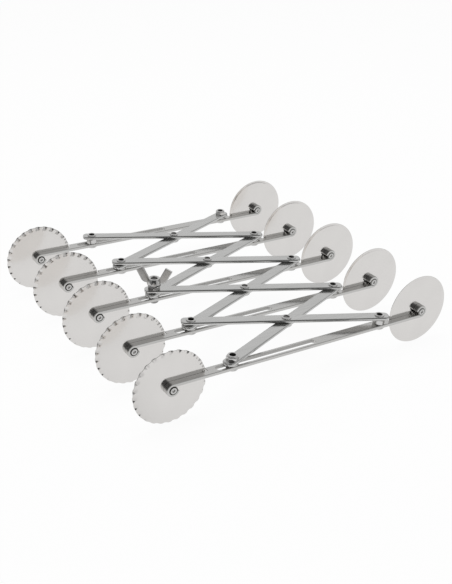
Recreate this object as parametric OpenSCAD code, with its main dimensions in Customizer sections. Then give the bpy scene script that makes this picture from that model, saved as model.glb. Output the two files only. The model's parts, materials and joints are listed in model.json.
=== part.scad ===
// Expandable dough cutter: five slotted carriers on a lazy-tongs linkage.
// Each carrier has a fluted cutting wheel at one end and a plain one at the other.
// Drawn standing on its ten wheels: X runs along the carriers from the fluted to the
// plain wheels, row 1 is at +Y, and Z = 0 is the table under the wheels.

/* [Spread] */
// Distance between neighbouring rows, as the linkage is drawn
row_pitch = 56.8; // [26:0.2:112]
// Angle of the arms to the carriers with the linkage closed, at the slot's outer end
closed_fold = 8.25; // [7:0.05:9.5]
// Angle of the arms to the carriers with the linkage fully open, at the slot's inner end
open_fold = 64.4; // [55:0.1:65]

/* [Wheels] */
// Diameter of the fluted wheels
fluted_d = 55; // [48:0.5:64]
// Diameter of the plain wheels
plain_d = 55; // [48:0.5:64]
// Thickness of the wheel sheet
wheel_t = 1; // [0.8:0.1:1.4]
// Number of flutes pressed into a fluted rim
flute_count = 27; // [16:1:36]
// How far a flute is pressed to the far side at the rim
flute_depth = 0.85; // [0.4:0.05:1.6]
// Radial length of a flute
flute_length = 3.2; // [2:0.1:5]
// Share of the way from one flute to the next that stays flat
flute_land = 0.3; // [0.2:0.02:0.5]
// Share of that way over which each side of a flute slopes
flute_flank = 0.22; // [0.1:0.02:0.24]
// Width of the ground bevel on a plain wheel's rim
bevel_w = 2; // [1:0.1:4]
// Thickness left at a plain wheel's edge
edge_t = 0.3; // [0.2:0.05:0.5]
// Diameter of the axle pins
axle_d = 4.7; // [4:0.1:5.5]
// Diameter of the low head on an axle pin's near end
axle_near_head_d = 6.4; // [6:0.1:8]
// Diameter of the flat face of the pin's head on the near side
axle_near_face_d = 4.6; // [3.6:0.1:5.6]
// Height of the low head on an axle pin's near end
axle_near_head_h = 0.45; // [0.2:0.05:0.8]
// Diameter of the riveted head behind a wheel
axle_far_head_d = 7; // [6.4:0.1:9]
// Height of the riveted head behind a wheel
axle_far_head_h = 1.1; // [0.8:0.1:2]

/* [Carriers] */
// Width of a carrier strip
strip_w = 9; // [8.5:0.1:11]
// Thickness of a carrier strip
strip_t = 2.5; // [1.5:0.1:3]
// Width of the tongue left beside a wheel
tongue_w = 4.5; // [4:0.1:5]
// How far round the axle pin a tongue is rolled, in degrees
eye_wrap = 258; // [220:1:275]
// Room between a closed linkage's arm ends and the fluted rims, along the carrier
fluted_room = 2.5; // [2:0.1:6]
// Room between the arm ends and the plain rims, along the carrier
plain_room = 3.5; // [2:0.1:6]
// Room between a wheel's rim and the shoulder of its notch
notch_room = 1.2; // [0.6:0.1:2]

/* [Arms] */
// Distance between an arm's end pivots
arm_span = 140.8; // [125:0.2:165]
// Width of an arm
arm_w = 9.3; // [8.5:0.1:10.5]
// Thickness of an arm
arm_t = 2.5; // [1.5:0.1:3]
// Length of an arm past its end pivot
arm_end = 7.4; // [6:0.1:8]
// Radius of an arm's corners
arm_corner = 3.5; // [1:0.1:4]

/* [Pivots] */
// Shank diameter of the pivot rivets and of the wing bolt
pivot_d = 5; // [4.4:0.1:5.4]
// Diameter of a rivet's rolled upper head
rivet_head_d = 7.8; // [6.8:0.1:8.6]
// Height of a rivet's rolled upper head
rivet_head_h = 0.8; // [0.5:0.1:1.4]
// Diameter of a rivet's lower head
rivet_foot_d = 8.6; // [7.4:0.1:9.4]
// Height of a rivet's lower head
rivet_foot_h = 1.3; // [0.8:0.1:1.5]
// Diameter of the hollow in a rivet's end
rivet_bore_d = 3.6; // [2.6:0.1:3.9]
// Diameter of the hollow's flared mouth
rivet_mouth_d = 4.7; // [4:0.1:5.4]
// Depth of the flare at the hollow's mouth
rivet_flare_h = 0.9; // [0.4:0.1:1]
// Depth of the hollow in an end rivet
rivet_bore_h = 6; // [3:0.1:8]
// Depth of the dimple in a crossing rivet
dimple_h = 1.2; // [1.1:0.1:2]
// Diameter of the washers under the lower arms
washer_d = 8.8; // [8:0.1:10]
// Thickness of the washers under the lower arms
washer_t = 1.5; // [1:0.1:2.5]
// Width across the flats of the hexagon nuts
nut_af = 8; // [7.4:0.1:9]
// How far a hexagon nut's end face is smaller than its flats, on the radius
nut_face = 0.15; // [0.05:0.05:0.4]
// Slope of a hexagon nut's chamfer, in degrees
nut_chamfer = 30; // [15:1:32]
// Turn of the near row's two hexagon nuts, in degrees
near_nut_turn = 27; // [-30:1:30]

/* [Wing nut] */
// Span over the two wings
wing_span = 28; // [24:0.5:32]
// Height of the wings above the nut's base
wing_h = 13.6; // [11:0.2:16]
// Width of a wing
wing_w = 6; // [4.5:0.1:7]
// Thickness of a wing
wing_t = 2.2; // [1.6:0.1:3]
// Outward lean of a wing, in degrees
wing_lean = 27; // [15:1:30]
// Height above the hub's foot at which a wing's outer edge turns in to the hub
wing_knee_h = 3.2; // [2:0.1:4.4]
// Base diameter of the hub
hub_d = 10.4; // [9.6:0.1:12]
// Diameter of the hub's upper end
hub_top_d = 9.2; // [8.2:0.1:9.5]
// Height of the hub
hub_h = 4.6; // [3.6:0.1:6]
// Height of the hub's straight rim, where the wings' heels end
hub_rim_h = 0.8; // [0.4:0.1:1.2]
// How deep the bolt's end lies in the hub
bolt_recess = 1; // [0.4:0.1:2]
// Width of the chamfer round the hub's upper end
hub_edge = 0.4; // [0.2:0.1:0.8]
// Turn of the wings from the carrier's direction, in degrees
wing_turn = -38.6; // [-90:0.2:90]
// Height of the hexagon nut under the wing nut
lock_nut_h = 2.7; // [2.2:0.1:4]
// Width across the flats of the thin nut under the wing nut
lock_nut_af = 9.2; // [8:0.1:10]
// Diameter of the split spring washer under the wing nut
spring_washer_d = 10.6; // [8.6:0.1:11]
// Thickness of the split spring washer
spring_washer_t = 1.6; // [1:0.1:2.2]
// Width of the spring washer's split
split_w = 0.7; // [0.4:0.1:1.2]
// Slant of the spring washer's split, in degrees
split_slant = 35; // [15:1:45]
// Diameter of the wing bolt's head
bolt_head_d = 7.6; // [7:0.1:11]
// Height of the wing bolt's head
bolt_head_h = 3; // [2:0.1:4]

/* [Clearances] */
// Radial clearance of a pivot or of a wheel on its pin
pivot_gap = 0.05; // [0.02:0.01:0.1]
// Clearance each side of a sliding pivot in its slot
slot_gap = 0.1; // [0.05:0.01:0.2]
// Axial play between stacked pieces
play = 0.05; // [0.02:0.01:0.1]
// Radial clearance of an axle pin in its rolled eye
eye_gap = 0.02; // [0.01:0.01:0.05]
// Gap on each side of a wheel
wheel_gap = 0.15; // [0.1:0.05:0.4]

/* [Hidden] */

$fn = 96;
rows = 5;
// How far a cut runs past the faces that it opens
over = 1;

// Colours of the finishes
satin_steel = [0.82, 0.81, 0.79];
bar_steel = [0.72, 0.72, 0.71];
bright_steel = [0.78, 0.78, 0.77];
dark_steel = [0.55, 0.55, 0.54];

// Linkage: the sliding pivot runs along the carrier as the rows spread
fold = asin(row_pitch / arm_span);
slider_x = arm_span * cos(fold);
slot_far = arm_span * cos(closed_fold);
slot_near = arm_span * cos(open_fold);
slot_w = pivot_d + 2 * slot_gap;

// Carrier, measured from its fixed pivot, with the strip's upper face at z = 0
fluted_reach = slot_far + arm_end + fluted_room + fluted_d / 2;
plain_reach = arm_end + plain_room + plain_d / 2;
eye_inner_r = axle_d / 2 + eye_gap;
eye_outer_r = eye_inner_r + strip_t;
fluted_axle_z = -eye_outer_r;
plain_axle_z = eye_outer_r - strip_t;
near_y = -strip_w / 2;
tongue_y = near_y + tongue_w;
wheel_y = tongue_y + wheel_gap;
wheel_back_y = wheel_y + wheel_t + wheel_gap;

// Levels of the stack on a carrier
lower_arm_z = washer_t + 2 * play;
upper_arm_z = lower_arm_z + arm_t + play;
stack_top_z = upper_arm_z + arm_t;
foot_z = -strip_t - play;
bore_r = pivot_d / 2 + pivot_gap;

// Wing bolt's stack, on the upper arm
lock_nut_z = stack_top_z + play;
spring_washer_z = lock_nut_z + lock_nut_h + play;
wing_nut_z = spring_washer_z + spring_washer_t + play;
bolt_top_z = wing_nut_z + hub_h - bolt_recess;

// Standing on wheels at unequal axle heights leans the carriers a little
axle_run = fluted_reach + plain_reach;
axle_rise = plain_axle_z - fluted_axle_z;
axle_line = sqrt(axle_run * axle_run + axle_rise * axle_rise);
lean = atan2(axle_rise, axle_run) + asin((fluted_d - plain_d) / 2 / axle_line);
stand_z = fluted_d / 2 - fluted_reach * sin(lean) - fluted_axle_z * cos(lean);
fluted_end_x = -fluted_reach * cos(lean) + fluted_axle_z * sin(lean) - fluted_d / 2;
plain_end_x = plain_reach * cos(lean) + plain_axle_z * sin(lean) + plain_d / 2;
stand_x = -(fluted_end_x + plain_end_x) / 2;

function row_y(i) = ((rows + 1) / 2 - i) * row_pitch;

// Carrier frame to the frame of the table
module stand() {
    translate([stand_x, 0, stand_z]) rotate([0, lean, 0]) children();
}

module at_fixed_pivot(i) {
    stand() translate([0, row_y(i), 0]) children();
}

module at_slider(i) {
    stand() translate([-slider_x, row_y(i), 0]) children();
}

module at_crossing(i) {
    stand() translate([-slider_x / 2, (row_y(i) + row_y(i + 1)) / 2, 0]) children();
}

// A wheel's place, without the carriers' lean
module at_axle(i, x, z) {
    translate([
        stand_x + x * cos(lean) + z * sin(lean),
        row_y(i) + wheel_y,
        stand_z - x * sin(lean) + z * cos(lean)
    ]) children();
}

// Solid turned about the Y axis, with its profile's height running towards +Y
module turned_along_y() {
    rotate([-90, 0, 0]) children();
}

// Tongue end rolled round the axle: starts square at the strip and stops short of it
module rolled_eye() {
    translate([0, tongue_y, 0]) rotate([90, 0, 0]) rotate([0, 0, 90])
        rotate_extrude(angle = eye_wrap) translate([eye_inner_r, 0]) square([strip_t, tongue_w]);
}

// Notch beside the tongue, from a shoulder out past the strip's end
module notch(shoulder_x, end_x) {
    low_x = min(shoulder_x, end_x);
    translate([low_x, tongue_y, -strip_t - over])
        cube([abs(end_x - shoulder_x), strip_w, strip_t + 2 * over]);
}

module slot_cut() {
    translate([0, 0, -strip_t - over]) linear_extrude(strip_t + 2 * over) {
        translate([-slot_far, -slot_w / 2]) square([slot_far - slot_near, slot_w]);
        translate([-slot_far, 0]) circle(d = slot_w);
        translate([-slot_near, 0]) circle(d = slot_w);
    }
}

module carrier(i) {
    fluted_shoulder = -fluted_reach + fluted_d / 2 + notch_room;
    plain_shoulder = plain_reach - plain_d / 2 - notch_room;
    color(bar_steel) at_fixed_pivot(i) {
        difference() {
            translate([-fluted_reach, near_y, -strip_t]) cube([axle_run, strip_w, strip_t]);
            notch(fluted_shoulder, -fluted_reach - over);
            notch(plain_shoulder, plain_reach + over);
            slot_cut();
            translate([0, 0, -strip_t - over]) cylinder(r = bore_r, h = strip_t + 2 * over);
        }
        translate([-fluted_reach, 0, fluted_axle_z]) rolled_eye();
        translate([plain_reach, 0, plain_axle_z]) rotate([0, 180, 0]) rolled_eye();
    }
}

// Pin through the eye and the wheel, headed at both ends
module axle_pin() {
    back_y = wheel_back_y;
    near_h = axle_near_head_h;
    far_h = axle_far_head_h;
    turned_along_y() rotate_extrude() polygon([
        [0, near_y - near_h],
        [axle_near_face_d / 2, near_y - near_h],
        [axle_near_head_d / 2, near_y - near_h / 4],
        [axle_near_head_d / 2, near_y],
        [axle_d / 2, near_y],
        [axle_d / 2, back_y],
        [axle_far_head_d / 2, back_y],
        [axle_far_head_d / 2, back_y + far_h / 2],
        [axle_far_head_d / 2 - far_h / 2, back_y + far_h],
        [0, back_y + far_h]
    ]);
}

module axle_pins(i) {
    color(bright_steel) at_fixed_pivot(i) {
        translate([-fluted_reach, 0, fluted_axle_z]) axle_pin();
        translate([plain_reach, 0, plain_axle_z]) axle_pin();
    }
}

// Sheet disc whose rim is pressed into flutes with flat bottoms, its near face at y = 0
module fluted_disc() {
    corners = [0, flute_land, flute_land + flute_flank, 1 - flute_flank];
    presses = [0, 0, flute_depth, flute_depth];
    steps = len(corners);
    n = flute_count * steps;
    rim_r = fluted_d / 2;
    flat_r = rim_r - flute_length;
    function turn(k) = 360 * (floor(k / steps) + corners[k % steps]) / flute_count;
    function ring(r, y, pressed) = [
        for (k = [0:n - 1])
            [r * cos(turn(k)), y + (pressed ? presses[k % steps] : 0), r * sin(turn(k))]
    ];
    points = concat(
        ring(flat_r, 0, false),
        ring(rim_r, 0, true),
        ring(rim_r, wheel_t, true),
        ring(flat_r, wheel_t, false)
    );
    bands = [
        for (b = [0:2], k = [0:n - 1], half = [0, 1])
            let (a = b * n + k, c = b * n + (k + 1) % n)
                half == 0 ? [a, a + n, c + n] : [a, c + n, c]
    ];
    near_face = [for (k = [0:n - 1]) k];
    far_face = [for (k = [n - 1:-1:0]) 3 * n + k];
    polyhedron(points, concat([near_face], bands, [far_face]));
}

module wheel_bore() {
    turned_along_y() translate([0, 0, -over])
        cylinder(d = axle_d + 2 * pivot_gap, h = wheel_t + 2 * over);
}

module fluted_wheel(i) {
    color(satin_steel) at_axle(i, -fluted_reach, fluted_axle_z) difference() {
        fluted_disc();
        wheel_bore();
    }
}

// Disc ground to a thin edge from both sides
module plain_wheel(i) {
    rim_r = plain_d / 2;
    land = (wheel_t - edge_t) / 2;
    color(satin_steel) at_axle(i, plain_reach, plain_axle_z) difference() {
        turned_along_y() rotate_extrude() polygon([
            [0, 0],
            [rim_r - bevel_w, 0],
            [rim_r, land],
            [rim_r, wheel_t - land],
            [rim_r - bevel_w, wheel_t],
            [0, wheel_t]
        ]);
        wheel_bore();
    }
}

// Flat bar with round corners and three pivot holes
module arm_bar() {
    half_l = arm_span / 2 + arm_end;
    half_w = arm_w / 2;
    linear_extrude(arm_t) difference() {
        union() {
            square([2 * half_l, arm_w - 2 * arm_corner], center = true);
            square([2 * (half_l - arm_corner), arm_w], center = true);
            for (sx = [-1, 1], sy = [-1, 1])
                translate([sx * (half_l - arm_corner), sy * (half_w - arm_corner)])
                    circle(r = arm_corner);
        }
        for (x = [-arm_span / 2, 0, arm_span / 2]) translate([x, 0]) circle(r = bore_r);
    }
}

// From the slider of one row to the fixed pivot of the next
module upper_arm(i) {
    color(bar_steel) at_crossing(i) translate([0, 0, upper_arm_z]) rotate([0, 0, -fold]) arm_bar();
}

// From the fixed pivot of one row to the slider of the next
module lower_arm(i) {
    color(bar_steel) at_crossing(i) translate([0, 0, lower_arm_z]) rotate([0, 0, fold]) arm_bar();
}

// Rivet with a chamfered foot and a rolled head, hollow and flared from the top
module rivet(foot_top, head_bottom, hollow) {
    foot_r = rivet_foot_d / 2;
    head_r = rivet_head_d / 2;
    top = head_bottom + rivet_head_h;
    lip = rivet_head_h / 2;
    difference() {
        rotate_extrude() polygon([
            [0, foot_top - rivet_foot_h],
            [foot_r - rivet_foot_h / 2, foot_top - rivet_foot_h],
            [foot_r, foot_top - rivet_foot_h / 2],
            [foot_r, foot_top],
            [pivot_d / 2, foot_top],
            [pivot_d / 2, head_bottom],
            [head_r, head_bottom],
            [head_r, top - lip],
            [head_r - lip, top],
            [0, top]
        ]);
        rotate_extrude() polygon([
            [0, top - hollow],
            [rivet_bore_d / 2, top - hollow],
            [rivet_bore_d / 2, top - rivet_flare_h],
            [rivet_mouth_d / 2, top],
            [rivet_mouth_d / 2, top + over],
            [0, top + over]
        ]);
    }
}

module cross_rivet(i) {
    color(bright_steel) at_crossing(i) rivet(lower_arm_z - play, stack_top_z + play, dimple_h);
}

module end_rivet(i) {
    color(bright_steel) at_fixed_pivot(i) rivet(foot_z, stack_top_z + play, rivet_bore_h);
}

module slide_rivet(i) {
    color(bright_steel) at_slider(i) rivet(foot_z, stack_top_z + play, rivet_bore_h);
}

module washer(z, d, t) {
    translate([0, 0, z]) difference() {
        cylinder(d = d, h = t);
        translate([0, 0, -over]) cylinder(r = bore_r, h = t + 2 * over);
    }
}

module end_washer(i) {
    color(dark_steel) at_fixed_pivot(i) washer(play, washer_d, washer_t);
}

module slide_washer(i) {
    color(dark_steel) at_slider(i) washer(play, washer_d, washer_t);
}

// Hexagon nut, chamfered at both ends, bored to pass the pivot
module hex_nut(z, h, af = nut_af) {
    corner_r = af / sqrt(3);
    face_r = af / 2 - nut_face;
    wide_r = corner_r + nut_face;
    drop = (wide_r - face_r) * tan(nut_chamfer);
    translate([0, 0, z]) difference() {
        intersection() {
            cylinder(r = corner_r, h = h, $fn = 6);
            rotate_extrude() polygon([
                [0, 0], [face_r, 0], [wide_r, drop], [wide_r, h - drop], [face_r, h], [0, h]
            ]);
        }
        translate([0, 0, -over]) cylinder(r = bore_r, h = h + 2 * over);
    }
}

// Nut that fills the lower arm's place in an end stack
module spacer_nut() {
    hex_nut(play, upper_arm_z - 2 * play);
}

// Nut that fills the upper arm's place in an end stack
module cap_nut() {
    hex_nut(upper_arm_z, arm_t);
}

module slide_nut_1() {
    color(dark_steel) at_slider(1) spacer_nut();
}

module end_nut_1() {
    color(dark_steel) at_fixed_pivot(1) cap_nut();
}

module slide_nut_5() {
    color(dark_steel) at_slider(rows) rotate([0, 0, near_nut_turn]) cap_nut();
}

module end_nut_5() {
    color(dark_steel) at_fixed_pivot(rows) rotate([0, 0, near_nut_turn]) spacer_nut();
}

// Middle row, whose slider carries the locking bolt
lock_row = 3;
// Direction of the spring washer's split, towards the near side
split_turn = -100;

module wing_bolt() {
    head_r = bolt_head_d / 2;
    tip = 0.6;
    color(bright_steel) at_slider(lock_row) rotate_extrude() polygon([
        [0, foot_z - bolt_head_h],
        [head_r - bolt_head_h / 2, foot_z - bolt_head_h],
        [head_r - bolt_head_h / 8, foot_z - bolt_head_h / 2],
        [head_r, foot_z],
        [pivot_d / 2, foot_z],
        [pivot_d / 2, bolt_top_z - tip],
        [pivot_d / 2 - tip, bolt_top_z],
        [0, bolt_top_z]
    ]);
}

module lock_nut() {
    color(dark_steel) at_slider(lock_row) hex_nut(lock_nut_z, lock_nut_h, lock_nut_af);
}

// Ring cut through by a slanted split
module spring_washer() {
    cut_h = 3 * spring_washer_t;
    color(dark_steel) at_slider(lock_row) difference() {
        washer(spring_washer_z, spring_washer_d, spring_washer_t);
        translate([0, 0, spring_washer_z + spring_washer_t / 2]) rotate([0, 0, split_turn])
            translate([spring_washer_d / 2, 0, 0]) rotate([split_slant, 0, 0])
                cube([spring_washer_d, split_w, cut_h], center = true);
    }
}

// One wing, seen square to its plate: a leaning bar whose outer edge curves in to the hub's foot
module wing_outline() {
    tip_x = wing_span / 2;
    tip_z = wing_h - wing_w * sin(wing_lean);
    inner_x = tip_x - wing_w * cos(wing_lean);
    root_x = inner_x - (wing_h - hub_h) * tan(wing_lean);
    function outer_x(z) = tip_x - (tip_z - z) * tan(wing_lean);
    knee = [outer_x(wing_knee_h), wing_knee_h];
    turn = [outer_x(hub_rim_h), hub_rim_h];
    foot = [hub_top_d / 2, hub_rim_h];
    heel = [for (t = [0:0.125:1]) (1 - t) ^ 2 * knee + 2 * t * (1 - t) * turn + t ^ 2 * foot];
    polygon(concat(
        [[tip_x, tip_z]],
        heel,
        [[0, hub_rim_h], [0, hub_h], [root_x, hub_h], [inner_x, wing_h]]
    ));
}

module wing_nut() {
    color(bright_steel) at_slider(lock_row) translate([0, 0, wing_nut_z]) rotate([0, 0, wing_turn])
        difference() {
            union() {
                rotate_extrude() polygon([
                    [0, 0],
                    [hub_d / 2, 0],
                    [hub_d / 2, hub_rim_h],
                    [hub_top_d / 2, hub_h - hub_edge],
                    [hub_top_d / 2 - hub_edge, hub_h],
                    [0, hub_h]
                ]);
                for (turn = [0, 180]) rotate([0, 0, turn])
                    translate([0, wing_t / 2, 0]) rotate([90, 0, 0])
                        linear_extrude(wing_t) wing_outline();
            }
            translate([0, 0, -over]) cylinder(r = bore_r, h = hub_h + 2 * over);
        }
}

carrier(1);  // carrier_1
carrier(2);  // carrier_2
carrier(3);  // carrier_3
carrier(4);  // carrier_4
carrier(5);  // carrier_5
axle_pins(1);  // axle_pins_1
axle_pins(2);  // axle_pins_2
axle_pins(3);  // axle_pins_3
axle_pins(4);  // axle_pins_4
axle_pins(5);  // axle_pins_5
fluted_wheel(1);  // fluted_wheel_1
fluted_wheel(2);  // fluted_wheel_2
fluted_wheel(3);  // fluted_wheel_3
fluted_wheel(4);  // fluted_wheel_4
fluted_wheel(5);  // fluted_wheel_5
plain_wheel(1);  // plain_wheel_1
plain_wheel(2);  // plain_wheel_2
plain_wheel(3);  // plain_wheel_3
plain_wheel(4);  // plain_wheel_4
plain_wheel(5);  // plain_wheel_5
upper_arm(1);  // upper_arm_1
upper_arm(2);  // upper_arm_2
upper_arm(3);  // upper_arm_3
upper_arm(4);  // upper_arm_4
lower_arm(1);  // lower_arm_1
lower_arm(2);  // lower_arm_2
lower_arm(3);  // lower_arm_3
lower_arm(4);  // lower_arm_4
cross_rivet(1);  // cross_rivet_1
cross_rivet(2);  // cross_rivet_2
cross_rivet(3);  // cross_rivet_3
cross_rivet(4);  // cross_rivet_4
end_rivet(1);  // end_rivet_1
end_rivet(2);  // end_rivet_2
end_rivet(3);  // end_rivet_3
end_rivet(4);  // end_rivet_4
end_rivet(5);  // end_rivet_5
slide_rivet(1);  // slide_rivet_1
slide_rivet(2);  // slide_rivet_2
slide_rivet(4);  // slide_rivet_4
slide_rivet(5);  // slide_rivet_5
end_washer(1);  // end_washer_1
end_washer(2);  // end_washer_2
end_washer(3);  // end_washer_3
end_washer(4);  // end_washer_4
slide_washer(2);  // slide_washer_2
slide_washer(3);  // slide_washer_3
slide_washer(4);  // slide_washer_4
slide_washer(5);  // slide_washer_5
slide_nut_1();
end_nut_1();
slide_nut_5();
end_nut_5();
wing_bolt();
lock_nut();
spring_washer();
wing_nut();
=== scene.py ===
# Expandable dough cutter: five slotted steel carriers on cutting wheels, joined by lazy tongs.
import json
import math

import bmesh
import bpy
from mathutils import Matrix, Vector

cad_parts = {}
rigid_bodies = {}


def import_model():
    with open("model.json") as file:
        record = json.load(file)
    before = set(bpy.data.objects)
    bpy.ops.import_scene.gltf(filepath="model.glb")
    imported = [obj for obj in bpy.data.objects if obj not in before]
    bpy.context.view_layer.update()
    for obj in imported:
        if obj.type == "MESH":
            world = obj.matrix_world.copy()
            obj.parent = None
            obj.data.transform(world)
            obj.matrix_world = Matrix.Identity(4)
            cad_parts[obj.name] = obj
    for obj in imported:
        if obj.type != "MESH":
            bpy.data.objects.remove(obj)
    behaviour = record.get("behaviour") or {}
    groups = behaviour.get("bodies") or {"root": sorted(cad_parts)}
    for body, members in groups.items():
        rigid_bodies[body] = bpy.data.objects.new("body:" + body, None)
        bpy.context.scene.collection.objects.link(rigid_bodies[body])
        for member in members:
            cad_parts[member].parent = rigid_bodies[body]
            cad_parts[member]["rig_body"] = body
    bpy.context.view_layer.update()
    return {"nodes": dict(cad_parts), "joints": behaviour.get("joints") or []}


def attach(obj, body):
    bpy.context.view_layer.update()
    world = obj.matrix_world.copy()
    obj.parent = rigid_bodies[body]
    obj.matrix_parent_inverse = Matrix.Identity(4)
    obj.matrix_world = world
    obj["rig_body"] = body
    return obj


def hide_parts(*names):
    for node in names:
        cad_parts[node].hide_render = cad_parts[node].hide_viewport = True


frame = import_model()

# Carriers: stainless strip, 9 x 2.5 mm, blanked with a slot and tumbled, so its edges are round
# and the slot's punched walls are dull. Each end is narrowed to a tongue and rolled into an eye,
# down at the fluted wheel's end and up at the plain wheel's end. The grain runs along the strip.
mm = 0.001
rows = range(1, 6)
strip_round = 0.48 * mm
slot_half, wall_tilt = 2.65 * mm, 0.5
strip_colour = (0.72, 0.715, 0.7)
punched_colour = (0.58, 0.575, 0.56)
merge_gap = 0.001 * mm
facet_area = 12 * mm * mm
# Angles between two faces: flat below the first, a curve between the next two, a corner past the last
flat_turn, facet_turn, soft_turn, corner_turn = math.radians(0.4), 0.01, 0.5, 0.7


def linked(tree, kind, **inputs):
    """New node with its inputs set to plain values or joined to the sockets given."""
    node = tree.nodes.new(kind)
    for key, value in inputs.items():
        socket = node.inputs[key.replace("_", " ")]
        if isinstance(value, bpy.types.NodeSocket):
            tree.links.new(value, socket)
        else:
            socket.default_value = value
    return node


def blank_steel(name):
    """Metal material with its tree, its shader and the object's coordinates."""
    material = bpy.data.materials.new(name)
    material.use_nodes = True
    tree = material.node_tree
    shader = tree.nodes["Principled BSDF"]
    shader.inputs["Metallic"].default_value = 1
    place = tree.nodes.new("ShaderNodeTexCoord").outputs["Object"]
    return material, tree, shader, place


def finish_steel(tree, shader, colour, roughness, tone, grain, depth, tones=(0.88, 1.1)):
    """Joins the noises to the shader: tone moves the colour, grain the roughness and the bump."""
    shade = linked(tree, "ShaderNodeMapRange", Value=tone, To_Min=tones[0], To_Max=tones[1])
    tint = tree.nodes.new("ShaderNodeVectorMath")
    tint.operation = "SCALE"
    tint.inputs[0].default_value = colour
    tree.links.new(shade.outputs[0], tint.inputs["Scale"])
    tree.links.new(tint.outputs[0], shader.inputs["Base Color"])
    rough = linked(tree, "ShaderNodeMapRange", Value=grain, To_Min=roughness * 0.8,
                   To_Max=roughness * 1.25)
    tree.links.new(rough.outputs[0], shader.inputs["Roughness"])
    bump = linked(tree, "ShaderNodeBump", Height=grain, Strength=0.25, Distance=depth)
    tree.links.new(bump.outputs[0], shader.inputs["Normal"])


def brushed_steel(name, colour, roughness, turn=0.0):
    """Steel brushed along the X axis, turned about the Z axis."""
    material, tree, shader, place = blank_steel(name)
    fine = linked(tree, "ShaderNodeMapping", Vector=place, Rotation=(0, 0, turn),
                  Scale=(90, 5200, 5200))
    wide = linked(tree, "ShaderNodeMapping", Vector=place, Rotation=(0, 0, turn),
                  Scale=(14, 620, 620))
    grain = linked(tree, "ShaderNodeTexNoise", Vector=fine.outputs[0], Scale=1.0, Detail=3.0)
    tone = linked(tree, "ShaderNodeTexNoise", Vector=wide.outputs[0], Scale=1.0, Detail=2.0)
    finish_steel(tree, shader, colour, roughness, tone.outputs[0], grain.outputs[0],
                 depth=0.02 * mm)
    return material


def tumbled_steel(name, colour, roughness):
    """Steel with an even grain, as small parts have from the tumbling drum."""
    material, tree, shader, place = blank_steel(name)
    grain = linked(tree, "ShaderNodeTexNoise", Vector=place, Scale=6000.0, Detail=3.0)
    tone = linked(tree, "ShaderNodeTexNoise", Vector=place, Scale=700.0, Detail=2.0)
    finish_steel(tree, shader, colour, roughness, tone.outputs[0], grain.outputs[0],
                 depth=0.01 * mm)
    return material


def bevelled(bm, edges, width, segments):
    """Rounds the edges and gives the new faces."""
    made = bmesh.ops.bevel(bm, geom=edges, offset=width, offset_type="OFFSET", affect="EDGES",
                           segments=segments, profile=0.5, clamp_overlap=False, material=-1)
    return made["faces"]


def keep_corners(bm, turn=soft_turn):
    """Shades edges sharp where their faces turn by the angle or more."""
    for edge in bm.edges:
        edge.smooth = edge.calc_face_angle(0) < turn


def rounded(node, width, segments, crisp=lambda edge: False):
    """Copy of a CAD piece with its facets joined and its edges rounded, the roundings in slot 1."""
    bm = bmesh.new()
    bm.from_mesh(frame["nodes"][node].data)
    bmesh.ops.remove_doubles(bm, verts=bm.verts, dist=merge_gap)
    bmesh.ops.dissolve_limit(bm, angle_limit=flat_turn, verts=bm.verts, edges=bm.edges)
    bmesh.ops.recalc_face_normals(bm, faces=bm.faces)
    for face in bm.faces:
        turns = [edge.calc_face_angle(0) for edge in face.edges]
        curved = any(facet_turn < turn < soft_turn for turn in turns)
        face.smooth = face.calc_area() < facet_area and curved
        face.material_index = 0
    corners = [edge for edge in bm.edges if edge.calc_face_angle(0) > corner_turn and not crisp(edge)]
    for face in bevelled(bm, corners, width, segments):
        face.smooth = True
        face.material_index = 1
    keep_corners(bm)
    return bm


def add_piece(name, bm, materials, node):
    """Object from the mesh, in place of a CAD node and on its body."""
    mesh = bpy.data.meshes.new(name)
    bm.to_mesh(mesh)
    bm.free()
    for extra in [a for a in mesh.attributes if a.name == "custom_normal"]:
        mesh.attributes.remove(extra)
    for material in materials:
        mesh.materials.append(material)
    piece = bpy.data.objects.new(name, mesh)
    bpy.context.scene.collection.objects.link(piece)
    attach(piece, frame["nodes"][node]["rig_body"])
    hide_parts(node)


joints = {joint["name"]: joint for joint in frame["joints"]}
strip_steel = brushed_steel("strip_steel", strip_colour, roughness=0.2)
strip_edge = brushed_steel("strip_edge", strip_colour, roughness=0.14)
punched_steel = tumbled_steel("punched_steel", punched_colour, roughness=0.42)
for i in rows:
    row_y = joints[f"fluted_spin_{i}"]["pos_m"][1]
    strip = rounded(f"carrier_{i}", strip_round, segments=4, crisp=lambda edge: all(
        abs(vert.co.y - row_y) < slot_half for vert in edge.verts))
    for face in strip.faces:
        in_slot = abs(face.calc_center_median().y - row_y) < slot_half
        is_wall = abs(face.normal.z) < wall_tilt < abs(face.normal.y)
        if in_slot and is_wall and face.material_index == 0:
            face.material_index = 2
    add_piece(f"strip_{i}", strip, [strip_steel, strip_edge, punched_steel], f"carrier_{i}")

# Axle pins: turned steel, pushed through eye and wheel and headed over at the back. The near head
# is low, with a flat face, the small dimple of the turning centre and a sloping rim, which is painted
# dark as painted shade in the groove round the head, and a lighter painted shade at the plain wheels.
pin_r, pin_near, pin_back = 2.35 * mm, -4.5 * mm, 1.3 * mm
near_head_r, near_face_r, near_head_h = 3.2 * mm, 2.3 * mm, 0.45 * mm
face_round, face_inset, rim_tilt = 0.15 * mm, 0.1 * mm, -0.1
far_head_r, far_head_h = 3.5 * mm, 1.1 * mm
centre_r, centre_depth = 1.2 * mm, 0.45 * mm
bright_colour = (0.75, 0.745, 0.735)
# Painted shade in the groove round the near head: near black at the fluted wheels, lighter at the plain
# ones
painted_shade_colour, lighter_shade_colour = (0.06, 0.06, 0.055), (0.3, 0.3, 0.29)
seam_gap = 0.0005 * mm
along_y = Matrix.Rotation(math.radians(-90), 4, "X")


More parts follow.
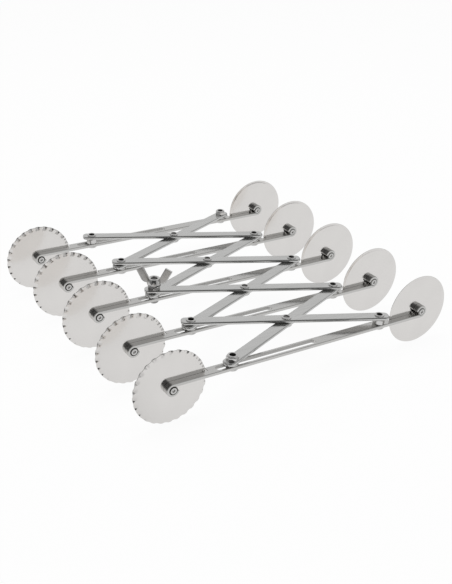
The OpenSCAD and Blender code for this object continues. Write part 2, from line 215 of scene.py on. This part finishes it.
def arc(r, h, size, start, end, steps=5):
    """Points of a profile on an arc about (r, h), angles in degrees."""
    turns = [math.radians(start + (end - start) * k / steps) for k in range(steps + 1)]
    return [(r + size * math.cos(t), h + size * math.sin(t)) for t in turns]


def turned(bm, profile, place, steps=48):
    """Spins a profile of (radius, height) about the Z axis of a place."""
    ring = [bm.verts.new(place @ Vector((r, 0, h))) for r, h in profile]
    edges = [bm.edges.new(pair) for pair in zip(ring, ring[1:])]
    if profile[0][0] > 0:
        edges.append(bm.edges.new((ring[-1], ring[0])))
    bmesh.ops.spin(bm, geom=ring + edges, cent=place.translation, axis=place.to_3x3().col[2],
                   angle=2 * math.pi, steps=steps, use_merge=True, use_duplicate=False)
    bmesh.ops.remove_doubles(bm, verts=bm.verts, dist=seam_gap)
    bmesh.ops.recalc_face_normals(bm, faces=bm.faces)
    for face in bm.faces:
        face.smooth = True
    keep_corners(bm)


pin_face = pin_near - near_head_h
dome_h = far_head_h * 2 / 3
dome_foot = pin_back + far_head_h / 3
pin_profile = [
    (0, pin_face + centre_depth),
    *arc(0, pin_face + centre_depth + centre_r, centre_r, -75, -30, 3),
    (centre_r, pin_face),
    (near_face_r - face_inset, pin_face),
    *arc(near_face_r - face_inset, pin_face + face_round, face_round, -90, -40, 3),
    (near_head_r, pin_near - near_head_h / 4),
    (near_head_r, pin_near),
    (pin_r, pin_near),
    (pin_r, pin_back),
    (far_head_r, pin_back),
    (far_head_r, dome_foot),
    *arc(far_head_r - dome_h, dome_foot, dome_h, 15, 90),
    (0, pin_back + far_head_h),
]
pin_steel = tumbled_steel("pin_steel", bright_colour, roughness=0.16)
painted_shade_steel = tumbled_steel("painted_shade_steel", painted_shade_colour, roughness=0.45)
lighter_shade_steel = tumbled_steel("lighter_shade_steel", lighter_shade_colour, roughness=0.4)
for i in rows:
    pins = bmesh.new()
    for side in ("fluted", "plain"):
        spin = joints[f"{side}_spin_{i}"]["pos_m"]
        turned(pins, pin_profile, Matrix.Translation(spin) @ along_y)
    row_y = joints[f"plain_spin_{i}"]["pos_m"][1]
    for face in pins.faces:
        middle = face.calc_center_median()
        behind_face = pin_face + face_inset < middle.y - row_y < pin_near
        on_rim = behind_face and face.normal.y < rim_tilt
        rim_slot = 1 if middle.x < 0 else 2
        face.material_index = rim_slot if on_rim else 0
    add_piece(f"pins_{i}", pins, [pin_steel, painted_shade_steel, lighter_shade_steel], f"axle_pins_{i}")

# Fluted wheels: 1 mm stainless discs, 55 mm across, thinned at the back of the rim and crimped
# into 27 flutes that push towards the far side, polished in the lathe so the grain runs round.
wheel_colour, wheel_rough = (0.94, 0.92, 0.9), 0.13
wheel_r, wheel_t = 27.5 * mm, 1 * mm
wheel_near = 0.15 * mm
bore_r = 2.4 * mm
rim_round = 0.2 * mm
rim_t, thinned_w = 0.45 * mm, 2.2 * mm
flutes, flute_depth, flute_length = 27, 0.85 * mm, 3.2 * mm
flute_land, flute_flank = 0.3, 0.22
flute_steps, flute_rings = 20, 8


def lathe_steel(name, colour, roughness, centre):
    """Steel polished in the lathe, its grain in rings about an axis along Y."""
    material, tree, shader, place = blank_steel(name)
    middle = linked(tree, "ShaderNodeMapping", Vector=place, Location=(-centre[0], 0, -centre[2]),
                    Scale=(1, 0, 1))
    radius = tree.nodes.new("ShaderNodeVectorMath")
    radius.operation = "LENGTH"
    tree.links.new(middle.outputs[0], radius.inputs[0])
    grain = tree.nodes.new("ShaderNodeTexNoise")
    grain.noise_dimensions = "1D"
    grain.inputs["Scale"].default_value = 5200
    grain.inputs["Detail"].default_value = 3
    tree.links.new(radius.outputs["Value"], grain.inputs["W"])
    tone = linked(tree, "ShaderNodeTexNoise", Vector=middle.outputs[0], Scale=60.0, Detail=2.0)
    finish_steel(tree, shader, colour, roughness, tone.outputs[0], grain.outputs[0],
                 depth=0.008 * mm, tones=(0.95, 1.03))
    return material


def flute_press(angle, r):
    """How far the rim lies to the far side at an angle and radius."""
    share = (angle * flutes / (2 * math.pi)) % 1
    across = min(max(0.0, min(share - flute_land, 1 - share) / flute_flank), 1.0)
    out = max(0.0, (r - wheel_r + flute_length) / flute_length)
    return flute_depth * across * out


def wheel_place(spin):
    """Place of a wheel's near face, its Z axis along the pin."""
    return Matrix.Translation(spin + Vector((0, wheel_near, 0))) @ along_y


flute_start = wheel_r - flute_length
ring_span = flute_length - rim_round
radii = [flute_start + ring_span * k / flute_rings for k in range(flute_rings + 1)]
thinning = [max(0, (r - wheel_r + thinned_w) / thinned_w) for r in radii]
backs = [wheel_t - (wheel_t - rim_t) * share for share in thinning]
fluted_profile = [
    (bore_r, 0),
    (flute_start - rim_round, 0),
    *((r, 0) for r in radii),
    *arc(wheel_r - rim_round, rim_round, rim_round, -60, 0, 3),
    *arc(wheel_r - rim_round, rim_t - rim_round, rim_round, 0, 60, 3),
    *reversed(list(zip(radii, backs))),
    (flute_start - rim_round, wheel_t),
    (bore_r, wheel_t),
]
for i in rows:
    spin = Vector(joints[f"fluted_spin_{i}"]["pos_m"])
    disc = bmesh.new()
    turned(disc, fluted_profile, wheel_place(spin), flutes * flute_steps)
    for vert in disc.verts:
        dx, dz = vert.co.x - spin.x, vert.co.z - spin.z
        vert.co.y += flute_press(math.atan2(dz, dx), math.hypot(dx, dz))
    disc_steel = lathe_steel(f"fluted_steel_{i}", wheel_colour, wheel_rough, spin)
    add_piece(f"fluted_disc_{i}", disc, [disc_steel], f"fluted_wheel_{i}")

# Plain wheels: the same sheet, hollow ground on both sides of the rim to a thin edge, so a line
# parts the flat from the ground band. They are polished like the fluted ones.
bevel_w, edge_t, edge_round = 2 * mm, 0.3 * mm, 0.1 * mm
land = (wheel_t - edge_t) / 2
ground_steps, ground_curve, ground_turn = 6, 1.5, 0.1
plain_steps = 256
ground = []
for k in range(ground_steps + 1):
    share = k / ground_steps
    ground.append((wheel_r - bevel_w + (bevel_w - edge_round) * share,
                   land * (1 - (1 - share) ** ground_curve)))
plain_profile = [
    (bore_r, 0),
    *ground,
    (wheel_r, land + edge_round),
    (wheel_r, wheel_t - land - edge_round),
    *((r, wheel_t - h) for r, h in reversed(ground)),
    (bore_r, wheel_t),
]
for i in rows:
    spin = Vector(joints[f"plain_spin_{i}"]["pos_m"])
    disc = bmesh.new()
    turned(disc, plain_profile, wheel_place(spin), plain_steps)
    keep_corners(disc, ground_turn)
    disc_steel = lathe_steel(f"plain_steel_{i}", wheel_colour, wheel_rough, spin)
    add_piece(f"plain_disc_{i}", disc, [disc_steel], f"plain_wheel_{i}")

# Washers: punched steel rings, their edges tumbled. One lies between each strip and the lower arm
# on it, four at the fixed pivots and four at the sliding ones.
row_pitch = joints["fluted_spin_1"]["pos_m"][1] - joints["fluted_spin_2"]["pos_m"][1]
arm_span = 140.8 * mm
fold = math.asin(row_pitch / arm_span)
slider_x = arm_span * math.cos(fold)
lean = math.asin(-joints["fold"]["axis"][0])
fold_h = 4 * mm
carrier_place = (Matrix.Translation(joints["fold"]["pos_m"]) @ Matrix.Rotation(lean, 4, "Y")
                 @ Matrix.Translation((0, 0, -fold_h)))
hole_r = 2.55 * mm
washer_r, washer_low, washer_high = 4.4 * mm, 0.05 * mm, 1.55 * mm
washer_round = 0.25 * mm
grey_colour = (0.63, 0.625, 0.615)


def pivot(x, row):
    """Place on a carrier's upper face, x along the carrier from its fixed pivot."""
    return carrier_place @ Matrix.Translation((x, (3 - row) * row_pitch, 0))


washer_profile = [
    (hole_r, washer_low),
    *arc(washer_r - washer_round, washer_low + washer_round, washer_round, -90, 0, 4),
    *arc(washer_r - washer_round, washer_high - washer_round, washer_round, 0, 90, 4),
    (hole_r, washer_high),
]
washer_steel = tumbled_steel("washer_steel", grey_colour, roughness=0.22)
for stack, x, first in (("end", 0, 1), ("slide", -slider_x, 2)):
    for i in range(first, first + 4):
        ring = bmesh.new()
        turned(ring, washer_profile, pivot(x, i))
        add_piece(f"{stack}_ring_{i}", ring, [washer_steel], f"{stack}_washer_{i}")

# Hexagon nuts: bright steel nuts that fill the missing arm's place in the four end stacks, cold
# formed with chamfered ends.
nut_round = 0.15 * mm
nut_colour = (0.8, 0.795, 0.785)
nut_steel = tumbled_steel("nut_steel", nut_colour, roughness=0.13)
nut_edge = tumbled_steel("nut_edge", nut_colour, roughness=0.13)
for node in ("slide_nut_1", "end_nut_1", "slide_nut_5", "end_nut_5"):
    hexagon = rounded(node, nut_round, segments=2)
    add_piece(node.replace("nut", "hexagon"), hexagon, [nut_steel, nut_edge], node)

# Arms: flat stainless bars, 9.3 x 2.5 mm, blanked with round corners and tumbled. The lower arms
# lie on the washers and the upper arms cross over them. The grain runs along each bar, and the
# undersides are painted darker as painted shade under the arms, and left rougher.
arm_round = 0.9 * mm
arm_colour = (0.73, 0.73, 0.72)
# Painted shade: faces that point down are darkened for the shade under the arms
underside_shade_colour, downward = (0.45, 0.445, 0.435), -0.9
for layer, turn in (("upper", fold), ("lower", -fold)):
    arm_steel = brushed_steel(f"{layer}_arm_steel", arm_colour, roughness=0.2, turn=turn)
    arm_edge = brushed_steel(f"{layer}_arm_edge", arm_colour, roughness=0.14, turn=turn)
    arm_underside_shade = brushed_steel(f"{layer}_arm_underside_shade", underside_shade_colour, roughness=0.3, turn=turn)
    for i in range(1, 5):
        node = f"{layer}_arm_{i}"
        bar = rounded(node, arm_round, segments=5)
        for face in bar.faces:
            if face.normal.z < downward:
                face.material_index = 2
        add_piece(f"{layer}_bar_{i}", bar, [arm_steel, arm_edge, arm_underside_shade], node)

# Rivets: tubular steel rivets, one through each stack and each crossing. The foot is chamfered and
# the tube's upper end is rolled outwards to a lip round its hollow, or round a dimple where two arms
# cross. The hollow and the dimple are painted darker as painted shade.
shank_r = 2.5 * mm
head_r, head_low, head_high = 3.7 * mm, 6.7 * mm, 7.5 * mm
hollow_r, hollow_depth, dimple_depth = 2.25 * mm, 3.5 * mm, 0.7 * mm
lip_round, mouth_round = 0.45 * mm, 0.25 * mm
foot_r, foot_h = 4.3 * mm, 1.3 * mm
under_arm, under_strip = 1.55 * mm, -2.55 * mm
# Painted shade: the hollow and the dimple are darkened for the shade in them
hollow_shade_colour = (0.3, 0.3, 0.29)
dimple_shade_colour = (0.42, 0.415, 0.405)


def rivet(place, foot_high, hollow):
    """Rivet mesh from its foot to its rolled lip, the hollow in slot 1."""
    bm = bmesh.new()
    turned(bm, [
        (0, head_high - hollow),
        (hollow_r, head_high - hollow),
        *arc(hollow_r + mouth_round, head_high - mouth_round, mouth_round, 180, 90, 4),
        *arc(head_r - lip_round, head_high - lip_round, lip_round, 90, 0, 5),
        (head_r, head_low),
        (shank_r, head_low),
        (shank_r, foot_high),
        (foot_r, foot_high),
        (foot_r, foot_high - foot_h / 2),
        (foot_r - foot_h / 2, foot_high - foot_h),
        (0, foot_high - foot_h),
    ], place)
    axis = place.inverted()
    for face in bm.faces:
        middle = axis @ face.calc_center_median()
        inside = math.hypot(middle.x, middle.y) < hollow_r + mouth_round / 3
        face.material_index = 1 if inside and middle.z > foot_high else 0
    return bm


rivet_steel = tumbled_steel("rivet_steel", bright_colour, roughness=0.16)
hollow_shade_steel = tumbled_steel("hollow_shade_steel", hollow_shade_colour, roughness=0.4)
dimple_shade_steel = tumbled_steel("dimple_shade_steel", dimple_shade_colour, roughness=0.3)
for i in range(1, 5):
    crossing = pivot(-slider_x / 2, i + 0.5)
    add_piece(f"cross_pivot_{i}", rivet(crossing, under_arm, dimple_depth),
              [rivet_steel, dimple_shade_steel], f"cross_rivet_{i}")
for stack, x, riveted in (("end", 0, rows), ("slide", -slider_x, (1, 2, 4, 5))):
    for i in riveted:
        add_piece(f"{stack}_pivot_{i}", rivet(pivot(x, i), under_strip, hollow_depth),
                  [rivet_steel, hollow_shade_steel], f"{stack}_rivet_{i}")

# Wing bolt: turned steel, its domed head under the middle strip. The shank above the arms and the
# sawn end, sunk in the wing nut's hub, are rough and painted dark as painted shade, and the domed
# head is painted darker as painted shade under the strip.
bolt_r, bolt_high, bolt_tip = 2.5 * mm, 14.7 * mm, 0.6 * mm
bolt_head_r, bolt_head_h = 3.8 * mm, 3 * mm
dome_steps, dome_power = 8, 0.6
# Painted shade: the shank and sawn end sunk in the hub, and the domed head under the strip
sunk_shade_colour = (0.24, 0.24, 0.235)
under_strip_shade_colour = (0.36, 0.355, 0.35)
bolt_place = pivot(-slider_x, 3)
dome_turns = [math.pi / 2 * k / dome_steps for k in range(2, dome_steps)]
bolt = bmesh.new()
turned(bolt, [
    (0, under_strip - bolt_head_h),
    *((bolt_head_r * math.sin(t), under_strip - bolt_head_h * math.cos(t) ** dome_power)
      for t in dome_turns),
    (bolt_head_r, under_strip),
    (bolt_r, under_strip),
    (bolt_r, bolt_high - bolt_tip),
    (bolt_r - bolt_tip, bolt_high),
    (0, bolt_high),
], bolt_place)
thread_z = (bolt_place @ Vector((0, 0, head_low))).z
head_z = (bolt_place @ Vector((0, 0, under_strip))).z
for face in bolt.faces:
    face_z = face.calc_center_median().z
    face.material_index = 1 if face_z > thread_z else 2 if face_z < head_z else 0
sunk_shade_steel = tumbled_steel("sunk_shade_steel", sunk_shade_colour, roughness=0.5)
under_strip_shade_steel = tumbled_steel("under_strip_shade_steel", under_strip_shade_colour, roughness=0.2)
add_piece("lock_bolt", bolt, [pin_steel, sunk_shade_steel, under_strip_shade_steel], "wing_bolt")

# Thin hexagon nut and split spring washer, clamped between the upper arm and the wing nut. The nut's
# flats are painted dark as painted shade in the stack, and its edges are bright. The washer is one
# turn of a coil, bright at the rim, its flats painted dark as painted shade in the gaps above and below
# it, with its ends apart at the near side.
coil_in, coil_out, coil_t = 2.75 * mm, 5.3 * mm, 0.95 * mm
coil_low, coil_high = 9.45 * mm, 11.05 * mm
coil_start, coil_gap, coil_steps = math.radians(-100), math.radians(9), 64
coil_round, flat_tilt = 0.38 * mm, 0.4
# Painted shade: the thin nut's flats and the washer's flats are darkened for the shade in the stack
stack_shade_colour = (0.24, 0.235, 0.23)
stack_shade_steel = tumbled_steel("stack_shade_steel", stack_shade_colour, roughness=0.24)
thin_nut = rounded("lock_nut", nut_round, segments=2)
add_piece("thin_nut", thin_nut, [stack_shade_steel, nut_edge], "lock_nut")
coil_place = bolt_place @ Matrix.Rotation(coil_start + coil_gap / 2, 4, "Z")
coil_axis = coil_place.to_3x3().col[2]
coil_corners = [
    (coil_in, coil_low), (coil_out, coil_low),
    (coil_out, coil_low + coil_t), (coil_in, coil_low + coil_t),
]
coil = bmesh.new()
section = coil.faces.new([coil.verts.new(coil_place @ Vector((r, 0, h))) for r, h in coil_corners])
bmesh.ops.spin(coil, geom=[section, *section.edges, *section.verts], cent=coil_place.translation,
               axis=coil_axis, dvec=coil_axis * (coil_high - coil_low - coil_t) / coil_steps,
               angle=2 * math.pi - coil_gap, steps=coil_steps, use_duplicate=False)
bmesh.ops.recalc_face_normals(coil, faces=coil.faces)
coil_edges = [edge for edge in coil.edges if edge.calc_face_angle(0) > corner_turn]
bevelled(coil, coil_edges, coil_round, segments=4)
for face in coil.faces:
    face.smooth = True
    face.material_index = 1 if abs(face.normal.z) > flat_tilt else 0
keep_corners(coil)
add_piece("split_ring", coil, [nut_edge, painted_shade_steel], "spring_washer")

# Wing nut: one casting of steel, plated and tumbled, so its wings are dull on their flats and bright
# on their round edges. The faces that point up are painted bright as a painted highlight, and the
# hub's underside is painted dark as painted shade. Its hub swells to a foot, and its bore is
# chamfered at the top.
wing_base, wing_turn = 11.1 * mm, math.radians(-38.6)
hub_r, hub_top_r, hub_h, hub_rim_h = 5.7 * mm, 4.6 * mm, 4.6 * mm, 0.5 * mm
hub_round, bore_chamfer, hub_steps = 0.4 * mm, 0.5 * mm, 64
wing_span, wing_h, wing_w, wing_t = 28 * mm, 13.6 * mm, 6 * mm, 2.4 * mm
wing_lean, wing_knee_h, heel_steps = math.radians(27), 3.2 * mm, 8
wing_root, wing_round, tip_round = 3.6 * mm, 0.65 * mm, 0.3 * mm
upward = 0.7
wing_colour = (0.55, 0.54, 0.525)


def wing_outline():
    """Corners of one wing: a leaning bar whose outer edge curves in to the hub's foot."""
    tip = Vector((wing_span / 2, wing_h - wing_w * math.sin(wing_lean)))
    inner_x = tip.x - wing_w * math.cos(wing_lean)
    root_x = inner_x - (wing_h - hub_h) * math.tan(wing_lean)
    knee, turn = (Vector((tip.x - (tip.y - h) * math.tan(wing_lean), h))
                  for h in (wing_knee_h, hub_rim_h))
    foot = Vector((hub_top_r, hub_rim_h))
    steps = [k / heel_steps for k in range(heel_steps + 1)]
    heel = [(1 - t) ** 2 * knee + 2 * t * (1 - t) * turn + t ** 2 * foot for t in steps]
    root_h = hub_h - hub_round
    return [tip, *heel, (wing_root, hub_rim_h), (wing_root, root_h), (root_x, root_h), (inner_x, wing_h)]


wing_place = bolt_place @ Matrix.Translation((0, 0, wing_base)) @ Matrix.Rotation(wing_turn, 4, "Z")
wing_nut = bmesh.new()
for side in (0, math.pi):
    place = wing_place @ Matrix.Rotation(side, 4, "Z")
    corners = [place @ Vector((x, -wing_t / 2, h)) for x, h in wing_outline()]
    plate = wing_nut.faces.new([wing_nut.verts.new(corner) for corner in corners])
    made = bmesh.ops.extrude_face_region(wing_nut, geom=[plate])
    moved = [item for item in made["geom"] if isinstance(item, bmesh.types.BMVert)]
    bmesh.ops.translate(wing_nut, verts=moved, vec=place.to_3x3().col[1] * wing_t)
bmesh.ops.recalc_face_normals(wing_nut, faces=wing_nut.faces)
for width, at_tip in ((wing_round, False), (tip_round, True)):
    edges = [edge for edge in wing_nut.edges if edge.calc_face_angle(0) > soft_turn
             and any(face.normal.z > upward for face in edge.link_faces) == at_tip]
    for face in bevelled(wing_nut, edges, width, segments=4):
        face.material_index = 1
# Painted highlight: faces that point up take the bright steel
for face in wing_nut.faces:
    if face.normal.z > upward:
        face.material_index = 1
wings = set(wing_nut.faces)
turned(wing_nut, [
    (hole_r, 0),
    *arc(hub_r - hub_round, hub_round, hub_round, -90, 0, 3),
    (hub_r, hub_rim_h),
    *arc(hub_top_r - hub_round, hub_h - hub_round, hub_round, 20, 90, 3),
    (hole_r + bore_chamfer, hub_h),
    (hole_r, hub_h - bore_chamfer),
], wing_place, hub_steps)
# Painted shade: the hub's underside takes the dark sunk steel
for face in wing_nut.faces:
    if face not in wings:
        face.material_index = 2 if face.normal.z < downward else 1
wing_steel = tumbled_steel("wing_steel", wing_colour, roughness=0.32)
wing_edge_and_top_sheen = tumbled_steel("wing_edge_and_top_sheen", bright_colour, roughness=0.14)
add_piece("wing_casting", wing_nut, [wing_steel, wing_edge_and_top_sheen, sunk_shade_steel], "wing_nut")

# Studio floor: white paper that keeps a faint shadow. What the steel mirrors of it is painted greyer,
# with painted shade in the near left corner, where the photographer's shadow falls, and far out to
# the front.
away = (0.545, 0.838, 0.0)
floor_half = 8
floor_glow, paper_colour = 0.95, (0.9, 0.9, 0.9, 1)
corner_x, corner_y, front_end = (-0.1, -0.22), (-0.04, -0.24), (-0.6, -1.0)
mirrored_light, mirrored_dark = 0.71, 0.08
floor_mesh = bpy.data.meshes.new("floor")
sheet = bmesh.new()
bmesh.ops.create_grid(sheet, x_segments=1, y_segments=1, size=floor_half)
sheet.to_mesh(floor_mesh)
sheet.free()
floor = bpy.data.objects.new("floor", floor_mesh)
bpy.context.scene.collection.objects.link(floor)
floor_white = bpy.data.materials.new("floor_white")
floor_white.use_nodes = True
tree = floor_white.node_tree
tree.nodes.clear()
path = tree.nodes.new("ShaderNodeLightPath")
floor_place = tree.nodes.new("ShaderNodeTexCoord").outputs["Object"]


def reckoned(tree, operation, first, second):
    """Output of a maths node on two sockets or numbers."""
    node = tree.nodes.new("ShaderNodeMath")
    node.operation = operation
    for socket, value in zip(node.inputs, (first, second)):
        if isinstance(value, bpy.types.NodeSocket):
            tree.links.new(value, socket)
        else:
            socket.default_value = value
    return node.outputs[0]


def along(tree, place, axis):
    """How far a place or a direction goes along an axis."""
    node = tree.nodes.new("ShaderNodeVectorMath")
    node.operation = "DOT_PRODUCT"
    tree.links.new(place, node.inputs[0])
    node.inputs[1].default_value = axis
    return node.outputs["Value"]


def floor_band(axis, ends):
    """Share from 0 to 1 between two distances along an axis of the floor."""
    distance = along(tree, floor_place, axis)
    return linked(tree, "ShaderNodeMapRange", Value=distance, From_Min=ends[0],
                  From_Max=ends[1]).outputs[0]


seen = reckoned(tree, "MAXIMUM", path.outputs["Is Camera Ray"], path.outputs["Is Glossy Ray"])
seen = reckoned(tree, "MAXIMUM", seen, path.outputs["Is Transmission Ray"])
glow_share = reckoned(tree, "MULTIPLY", seen, floor_glow)
# Painted shade in what the steel mirrors of the floor: the near left corner and far out to the front
corner = reckoned(tree, "MULTIPLY", floor_band((1, 0, 0), corner_x), floor_band((0, 1, 0), corner_y))
mirrored_shade = reckoned(tree, "MAXIMUM", corner, floor_band(away, front_end))
mirrored = linked(tree, "ShaderNodeMapRange", Value=mirrored_shade, To_Min=mirrored_light,
                  To_Max=mirrored_dark).outputs[0]
brightness = reckoned(tree, "MAXIMUM", mirrored, path.outputs["Is Camera Ray"])
paper = linked(tree, "ShaderNodeBsdfDiffuse", Color=paper_colour)
glow = linked(tree, "ShaderNodeEmission", Color=(1, 1, 1, 1), Strength=brightness)
mixed = linked(tree, "ShaderNodeMixShader", Fac=glow_share)
tree.links.new(paper.outputs[0], mixed.inputs[1])
tree.links.new(glow.outputs[0], mixed.inputs[2])
tree.links.new(mixed.outputs[0], tree.nodes.new("ShaderNodeOutputMaterial").inputs["Surface"])
floor_mesh.materials.append(floor_white)

# Studio light: a soft lamp under a dome that the camera itself sees as white. The dome is bright
# behind the cutter, greyer overhead, and dark low down in front and on the photographer's side,
# with a pale card at the right, as steel is lit for a catalogue.
photographer = (-0.5, -0.8, 0.33)
front_high = (-0.15, -0.5, 0.853)
side_card = (0.49, -0.87, 0.05)
front_level, back_level, overhead_level = 0.37, 0.65, 0.34
front_high_level, low_front_level = 0.12, 0.18
side_card_level, photographer_level = 0.45, 0.06
backdrop_colour = (0.955, 0.955, 0.955, 1)
world = bpy.data.worlds.new("studio")
bpy.context.scene.world = world
world.use_nodes = True
tree = world.node_tree
tree.nodes.clear()
direction = tree.nodes.new("ShaderNodeTexCoord").outputs["Generated"]


def band(axis, start, end):
    """Soft step of how far the direction points along an axis, from 0 at start to 1 at end."""
    node = linked(tree, "ShaderNodeMapRange", Value=along(tree, direction, axis), From_Min=start,
                  From_Max=end)
    node.interpolation_type = "SMOOTHSTEP"
    return node.outputs[0]


def between(share, low, high):
    """Level that goes from low to high as the share goes from 0 to 1."""
    return linked(tree, "ShaderNodeMix", Factor=share, A=low, B=high).outputs[0]


overhead = (0, 0, 1)
level = between(band(away, 0.35, 0.75), front_level, back_level)
level = between(band(overhead, 0.55, 0.88), level, overhead_level)
level = between(band(front_high, 0.88, 0.97), level, front_high_level)
low_front = reckoned(tree, "MULTIPLY", band(overhead, 0.32, 0.15), band(away, 0.6, 0.35))
level = between(low_front, level, low_front_level)
level = between(band(side_card, 0.86, 0.97), level, side_card_level)
level = between(band(photographer, 0.7, 0.86), level, photographer_level)
sky = linked(tree, "ShaderNodeBackground", Color=level)
white = linked(tree, "ShaderNodeBackground", Color=backdrop_colour)
path = tree.nodes.new("ShaderNodeLightPath")
pick = linked(tree, "ShaderNodeMixShader", Fac=path.outputs["Is Camera Ray"])
tree.links.new(sky.outputs[0], pick.inputs[1])
tree.links.new(white.outputs[0], pick.inputs[2])
tree.links.new(pick.outputs[0], tree.nodes.new("ShaderNodeOutputWorld").inputs["Surface"])

lamp_data = bpy.data.lights.new("overhead", "AREA")
lamp_data.size = 1.2
lamp_data.energy = 14
lamp = bpy.data.objects.new("overhead", lamp_data)
lamp.location = (0.1, 0.1, 1.4)
lamp.visible_glossy = False
bpy.context.scene.collection.objects.link(lamp)

# Camera: stands where the photograph was taken from, out to the near left and above. Its place,
# its turn and its lens were fitted to the wheels and pivots that the photograph shows.
camera_data = bpy.data.cameras.new("camera")
camera_data.sensor_fit = "VERTICAL"
camera_data.sensor_height = 36
camera_data.lens = 59.309
camera_data.clip_start, camera_data.clip_end = 0.01, 50
camera = bpy.data.objects.new("camera", camera_data)
camera.location = (-0.36099, -0.58264, 0.37828)
camera.rotation_euler = tuple(math.radians(a) for a in (62.3304, -0.976, -31.6847))
bpy.context.scene.collection.objects.link(camera)
bpy.context.scene.camera = camera
bpy.context.scene.view_settings.view_transform = "Standard"
